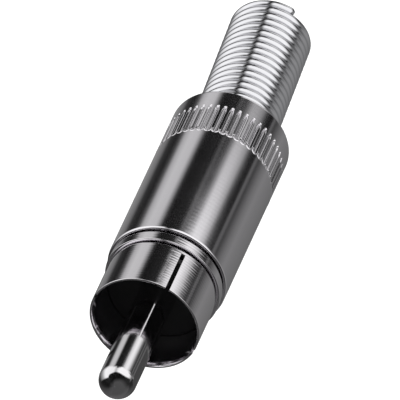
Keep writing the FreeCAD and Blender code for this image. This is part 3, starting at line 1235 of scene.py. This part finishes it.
# The plug's straight walls mirror the studio on this cone about its axis. A little off the cone the bright
# panel is wider: past a calm range, near each of its edges the angle shifts at a rate, up to a reach in
# degrees, so the turning marks show as serration.
CONE = math.radians(42.9)
CALM = math.radians(1.2)
SERRATED = [(-3.0, 8.0, 3.0), (45.0, -7.0, 1.4)]
SERRATED_WIDTH = 14.0
# A faint line beside the panel, its middle and width round the axis, is seen only off the cone, as specks.
SPECK_LINE = (-10.0, 4.0)
SPECK_LEVEL = 0.6
SPECK_TILT = math.radians(0.35)
SPECK_EDGE = math.radians(0.12)
# How fast the wide panels' right edge, at a middle and width, moves round the axis with the angle from it.
SLANT = 0.37
SLANT_EDGE = (50.0, 26.0)
SLANT_START = math.radians(80)

# The bowl before the nose, about a point behind the tip: its radius, the angles from the axis it covers, how
# far that point is behind the tip, and the brightness of its middle, its rim of panels and its dark sides.
BOWL_RADIUS = 24.0
BOWL_SPAN = (66, 178)
BOWL_SHIFT = 1.6
BOWL_LEVEL = 0.085
NOSE_PANELS = [
    (-165, 0.10), (-150, 0.05), (-130, 0.03), (-120, 0.20), (-105, 0.50), (-94, 0.95), (-86, 1.15),
    (-42, 1.05), (-30, 0.55), (-18, 1.10), (-10, 1.20), (42, 1.15), (52, 0.75), (60, 0.25), (72, 0.02),
    (90, 0.025), (105, 0.06), (150, 0.12), (180, 0.13),
]
NOSE_END = Edge(
    [
        (-130, 90), (-120, 97), (-105, 106), (-92, 113), (-75, 119), (-64, 107), (-45, 101), (-30, 94),
        (-15, 94), (0, 96), (15, 97), (30, 95), (45, 89), (60, 82), (75, 100),
    ],
    width=7,
)
FLAG_SIDES = [
    (-180, 0.095), (-165, 0.085), (-150, 0.060), (-135, 0.022), (-120, 0.008), (-75, 0.016), (-60, 0.008),
    (-45, 0.004), (0, 0.003), (20, 0.005), (45, 0.018), (75, 0.025), (90, 0.065), (105, 0.10),
    (135, 0.125), (165, 0.115), (180, 0.095),
]
MIDDLE_START = Edge(
    [
        (-150, 150), (-120, 162), (-60, 162), (-45, 157), (-30, 149), (-15, 143), (0, 138), (15, 131),
        (30, 126), (60, 122), (90, 115),
    ],
    width=26,
)

# The scrim: its radius, how much light it lets through by station, and by the angle round the axis.
SCRIM_RADIUS = 60.0
SCRIM = [(65, 1.0), (67, 1.0), (72, 0.8), (78, 0.66), (83, 0.42), (88, 0.42), (93, 0.8), (96, 1.0)]
SCRIM_SCALE = 100.0
SCRIM_SIDES = [
    (-20, 1.0), (-12, 0.60), (-7, 0.22), (0, 0.17), (6, 0.45), (12, 0.85), (34, 0.92), (40, 0.60),
    (46, 0.22), (53, 0.35), (57, 1.0),
]
# The flag at the mouth: radius, angles it covers, stations of its front and rear by the angle, brightness.
MOUTH_RADIUS = 5.6
MOUTH_SPAN = (72, 265)
MOUTH_FRONT = ((185, 212), (-6.5, -0.8))
MOUTH_REAR = ((150, 185), (0.85, -0.15))
MOUTH_FLAG = [(-165, 0.010), (-95, 0.010), (60, 0.070), (150, 0.070), (175, 0.055)]
# The flags in the sleeve's side slots, painted shade that only shiny surfaces see: their middles, half their
# width, radius, stations and brightness.
SLOT_FLAGS = {"slot_flag_left": -83.7, "slot_flag_right": 96.3}
SLOT_HALF = 3.5
SLOT_RADIUS = 4.45
SLOT_ENDS = (0.3, 4.5)
SLOT_LEVEL = 0.012


def bell_at(tree: Tree, angle: NodeSocket, middle: float, width: float) -> NodeSocket:
    """A bell curve of an angle: exp(-((angle - middle) / width)^2), with middle and width in degrees."""
    away = tree.math("SUBTRACT", angle, math.radians(middle))
    return tree.bell(tree.math("DIVIDE", away, math.radians(width)))


def directions_group() -> NodeTree:
    """The angles of a direction against the plug's axis, as shares from 0 to 1, made once.

    Round axis is the angle from the camera's side, counted from +Z towards +X, with 0.5 on that side. Fanned
    is the same, shifted near both edges of the bright panel, and Slanted the same, shifted near the right
    edge of the wide panels. From axis is the angle from +Y over half a turn. Specks is where only tilted
    metal glints.

    Returns:
        The group.
    """
    if "directions" in bpy.data.node_groups:
        return bpy.data.node_groups["directions"]
    names = ["Round axis", "Fanned", "Slanted", "From axis", "Specks"]
    tree, given, out = node_group("directions", {"Direction": None}, names)
    unit = tree.outputs("ShaderNodeVectorMath", given["Direction"], operation="NORMALIZE")["Vector"]
    parts = tree.outputs("ShaderNodeSeparateXYZ", unit)
    angle = tree.math("SUBTRACT", tree.math("ARCTAN2", parts["X"], parts["Z"]), SIGHT_ANGLE)
    angle = tree.math("WRAP", angle, math.pi, -math.pi)
    from_axis = tree.math("ARCCOSINE", parts["Y"])
    off_cone = tree.math("ABSOLUTE", tree.math("SUBTRACT", from_axis, CONE))
    stray = tree.math("MAXIMUM", tree.math("SUBTRACT", off_cone, CALM), 0.0)
    fanned = angle
    for edge, rate, reach in SERRATED:
        shift = tree.math("MULTIPLY", tree.math("MINIMUM", stray, math.radians(reach)), rate)
        fanned = tree.math("MULTIPLY_ADD", bell_at(tree, angle, edge, SERRATED_WIDTH), shift, fanned)
    shift = tree.math("MULTIPLY", tree.math("SUBTRACT", from_axis, SLANT_START), -SLANT)
    slanted = tree.math("MULTIPLY_ADD", bell_at(tree, angle, *SLANT_EDGE), shift, angle)
    for label, value in (("Round axis", angle), ("Fanned", fanned), ("Slanted", slanted)):
        tree.link(tree.math("MULTIPLY_ADD", value, 0.5 / math.pi, 0.5), out[label])
    tree.link(tree.math("DIVIDE", from_axis, math.pi), out["From axis"])
    tilted = tree.math("DIVIDE", tree.math("SUBTRACT", CONE - SPECK_TILT, from_axis), SPECK_EDGE)
    tilted = tree.math("MAXIMUM", tree.math("MINIMUM", tilted, 1.0), 0.0)
    tree.link(tree.math("MULTIPLY", bell_at(tree, angle, *SPECK_LINE), tilted), out["Specks"])
    return tree.tree


def directions(tree: Tree, direction: NodeSocket) -> dict[str, NodeSocket]:
    """The outputs of the directions group for a direction."""
    return tree.outputs("ShaderNodeGroup", direction, node_tree=directions_group())


def for_metal_only(made: Object) -> None:
    """Hide an object from the camera, diffuse light and shadows, so that only shiny surfaces see it."""
    made.visible_camera = made.visible_diffuse = made.visible_shadow = False


def card(
    name: str, radius: float, angles: tuple[float, float], stations: np.ndarray, glass: bool = False
) -> tuple[Tree, Node]:
    """A curved card about the axis that only shiny surfaces see.

    Args:
        name: The card's name.
        radius: Its distance from the axis.
        angles: Where it starts and ends round the axis.
        stations: Its front and rear station at each column, as two rows.
        glass: True if it lets light through, False if it glows.

    Returns:
        The tree of its material and its shader node.
    """
    columns = stations.shape[1]
    round_axis = np.radians(np.linspace(*angles, columns)) + SIGHT_ANGLE
    points = around(np.broadcast_to(round_axis, (2, columns))) * radius
    points[..., 1] = stations
    material, tree, shader = shaded(name, "ShaderNodeBsdfTransparent" if glass else "ShaderNodeEmission")
    faces = grid_faces(2, columns, False, False).tolist()
    for_metal_only(new_object(name, points.reshape(-1, 3) * MM, faces, material))
    return tree, shader


@dataclass(frozen=True)
class Studio:
    """Camera, world and floor. The camera stands where the photograph was taken from.

    Attributes:
        azimuth: Angle of the camera round the plug, in degrees.
        elevation: Its height above the horizon, in degrees.
        lens: Focal length, in mm.
        distance: From the camera to the pin's tip along the sight line, in mm.
        tip_station: Station of the pin's tip, in mm.
        tip_right: How far right of the picture's middle the tip is, in mm at its distance.
        tip_down: How far below the middle it is.
        floor_drop: Depth of the floor below the axis, in mm.
        floor_size: Half the floor's width, in mm.
        floor_glow: How much the floor glows towards the camera, so that it shows as white.
        lamp_place: Where the lamp stands, in mm.
        lamp_size: Its width, in mm.
        lamp_power: Its power, in watts.
    """

    azimuth: float = 16.80
    elevation: float = 40.19
    lens: float = 1600.6
    distance: float = 1457.0
    tip_station: float = -9.048
    tip_right: float = -7.209
    tip_down: float = 15.766
    floor_drop: float = 45.0
    floor_size: float = 3000.0
    floor_glow: float = 0.3
    lamp_place: tuple[float, float, float] = (-250.0, -200.0, 500.0)
    lamp_size: float = 400.0
    lamp_power: float = 1.2

    def camera(self) -> Object:
        """Place the camera by its sight line and by where the tip lies in the picture.

        Returns:
            The camera.
        """
        turn, rise = math.radians(self.azimuth), math.radians(self.elevation)
        back = Vector((math.sin(turn) * math.cos(rise), -math.cos(turn) * math.cos(rise), math.sin(rise)))
        right = Vector((math.cos(turn), math.sin(turn), 0))
        up = back.cross(right)
        tip = Vector((0, self.tip_station, 0))
        place = tip - right * self.tip_right + up * self.tip_down + back * self.distance
        data = bpy.data.cameras.new("camera")
        data.sensor_width = 36
        data.lens = self.lens
        data.clip_start, data.clip_end = 0.05, 20
        made = bpy.data.objects.new("camera", data)
        bpy.context.scene.collection.objects.link(made)
        axes = Matrix((right, up, back)).transposed()
        made.matrix_world = Matrix.Translation(place * MM) @ axes.to_4x4()
        bpy.context.scene.camera = made
        return made

    def world(self) -> None:
        """A plain white world for plain surfaces, and long panels and flags for what shines."""
        made = bpy.data.worlds.new("studio")
        made.use_nodes = True
        bpy.context.scene.world = made
        tree = Tree(made.node_tree)
        angles = directions(tree, tree.node("ShaderNodeTexCoord").outputs["Generated"])
        specks = tree.math("MULTIPLY", angles["Specks"], SPECK_LEVEL)
        stripes = tree.blend(specks, tree.ramp(round_stops(STRIPES), angles["Fanned"]), WHITE)
        across = tree.ramp(round_stops(ACROSS), angles["Slanted"])
        lit = tree.blend(tree.ramp(axis_stops(ACROSS_SHARE), angles["From axis"]), stripes, across)
        sides = tree.ramp(round_stops(FRONT_SIDES), angles["Round axis"])
        lit = tree.blend(ACROSS_END.past(tree, angles), lit, sides)
        lit = tree.blend(tree.ramp(axis_stops(REAR_SHARE), angles["From axis"]), lit, sides)
        joint = tree.bell(tree.math("SUBTRACT", JOINT.past(tree, angles), 0.5))
        lit = tree.blend(joint, lit, grey(JOINT_LEVEL))
        glossy = tree.node("ShaderNodeLightPath").outputs["Is Glossy Ray"]
        background = made.node_tree.nodes["Background"]
        tree.link(tree.blend(glossy, WHITE, lit), background.inputs["Color"])

    def floor(self) -> Object:
        """A pale floor under the plug that shows as white and keeps the plug's soft shadow.

        Returns:
            The floor.
        """
        material, tree, shader = shaded("floor")
        shader.inputs["Base Color"].default_value = grey(0.8)
        shader.inputs["Roughness"].default_value = 0.9
        shader.inputs["Specular IOR Level"].default_value = 0.0
        shader.inputs["Emission Color"].default_value = WHITE
        seen = tree.node("ShaderNodeLightPath").outputs["Is Camera Ray"]
        tree.link(tree.math("MULTIPLY", seen, self.floor_glow), shader.inputs["Emission Strength"])
        corners = np.array([[-1, -1, 0], [1, -1, 0], [1, 1, 0], [-1, 1, 0]]) * self.floor_size
        corners[:, 2] = -self.floor_drop
        made = new_object("floor", corners * MM, [[0, 1, 2, 3]], material)
        made.visible_glossy = False
        return made

    def front_flag(self) -> None:
        """A bowl before the pin's nose that only shiny surfaces see, dark but for the panels along its rim.

        It is part of a sphere about a point near the nose: the angle from the axis covers a range, the angle
        round it a whole turn.
        """
        rows, columns = 24, 48
        from_axis = np.radians(np.linspace(*BOWL_SPAN, rows))[:, None]
        round_axis = np.linspace(0, 2 * math.pi, columns, endpoint=False)[None]
        points = around(np.broadcast_to(round_axis, (rows, columns)))
        points *= (BOWL_RADIUS * np.sin(from_axis))[..., None]
        points[..., 1] = BOWL_RADIUS * np.cos(from_axis)
        middle = np.array([0, self.tip_station + BOWL_SHIFT, 0])
        material, tree, glow = shaded("front_flag", "ShaderNodeEmission")
        place = tree.node("ShaderNodeVectorMath", operation="SUBTRACT")
        place.inputs[1].default_value = middle * MM
        tree.link(tree.place(), place.inputs[0])
        angles = directions(tree, place.outputs[0])
        rim = tree.ramp(round_stops(NOSE_PANELS), angles["Round axis"])
        sides = tree.ramp(round_stops(FLAG_SIDES), angles["Round axis"])
        bowl = tree.blend(NOSE_END.past(tree, angles), rim, sides)
        bowl = tree.blend(MIDDLE_START.past(tree, angles), bowl, grey(BOWL_LEVEL))
        tree.link(bowl, glow.inputs["Color"])
        points = (points.reshape(-1, 3) + middle) * MM
        faces = grid_faces(rows, columns, False, True).tolist()
        for_metal_only(new_object("front_flag", points, faces, material))

    def scrim(self) -> None:
        """A grey scrim before the bright panel: thicker towards the barrel's rear, dark along both sides."""
        ends = np.array([[SCRIM[0][0]] * 24, [SCRIM[-1][0]] * 24])
        tree, shader = card("scrim", SCRIM_RADIUS, (SCRIM_SIDES[0][0], SCRIM_SIDES[-1][0]), ends, glass=True)
        place = tree.place()
        station = tree.outputs("ShaderNodeSeparateXYZ", place)["Y"]
        share = tree.math("MULTIPLY", station, 1 / (SCRIM_SCALE * MM))
        along = tree.ramp([(y / SCRIM_SCALE, level) for y, level in SCRIM], share)
        sides = tree.ramp(round_stops(SCRIM_SIDES), directions(tree, place)["Round axis"])
        tree.link(tree.math("MULTIPLY", along, sides), shader.inputs["Color"])

    def mouth_flag(self) -> None:
        """A dark card under the pin, close to the mouth, that narrows towards the camera's left."""
        angle = np.linspace(*MOUTH_SPAN, 40)
        ends = np.stack([np.interp(angle, *MOUTH_FRONT), np.interp(angle, *MOUTH_REAR)])
        tree, shader = card("mouth_flag", MOUTH_RADIUS, MOUTH_SPAN, ends)
        around_axis = directions(tree, tree.place())["Round axis"]
        tree.link(tree.ramp(round_stops(MOUTH_FLAG), around_axis), shader.inputs["Color"])

    def slot_flags(self) -> None:
        """Dark cards in the sleeve's side slots, painted shade in the mouth, so that the pin doesn't mirror
        the studio through them.
        """
        ends = np.repeat(np.array(SLOT_ENDS)[:, None], 4, axis=1)
        for name, middle in SLOT_FLAGS.items():
            shader = card(name, SLOT_RADIUS, (middle - SLOT_HALF, middle + SLOT_HALF), ends)[1]
            shader.inputs["Color"].default_value = grey(SLOT_LEVEL)

    def lamp(self) -> Object:
        """A wide soft lamp above the left shoulder, which shiny surfaces don't see.

        Returns:
            The lamp.
        """
        data = bpy.data.lights.new("soft_lamp", "AREA")
        data.shape = "DISK"
        data.size = self.lamp_size * MM
        data.energy = self.lamp_power
        made = bpy.data.objects.new("soft_lamp", data)
        bpy.context.scene.collection.objects.link(made)
        made.location = Vector(self.lamp_place) * MM
        made.rotation_euler = (-Vector(made.location)).to_track_quat("-Z", "Y").to_euler()
        made.visible_glossy = False
        return made

    def build(self) -> None:
        """Set up the whole studio."""
        bpy.context.scene.view_settings.view_transform = "Standard"
        self.camera()
        self.world()
        self.floor()
        self.front_flag()
        self.scrim()
        self.mouth_flag()
        self.slot_flags()
        self.lamp()


def main() -> None:
    """Build the studio and the plug, and report its pieces."""
    logging.basicConfig(level=logging.INFO, format="%(message)s")
    Studio().build()
    materials = make_materials()
    pin_low, pin_high = (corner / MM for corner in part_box("centre_pin"))
    barrel_low, barrel_high = (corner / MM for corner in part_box("barrel"))
    Contact(materials, pin_tip=pin_low.y, cup_end=pin_high.y).build()
    Barrel(materials, front=barrel_low.y, rear=barrel_high.y).build()
    Spring(materials, barrel_rear=barrel_high.y).coil()


if __name__ == "__main__":
    main()
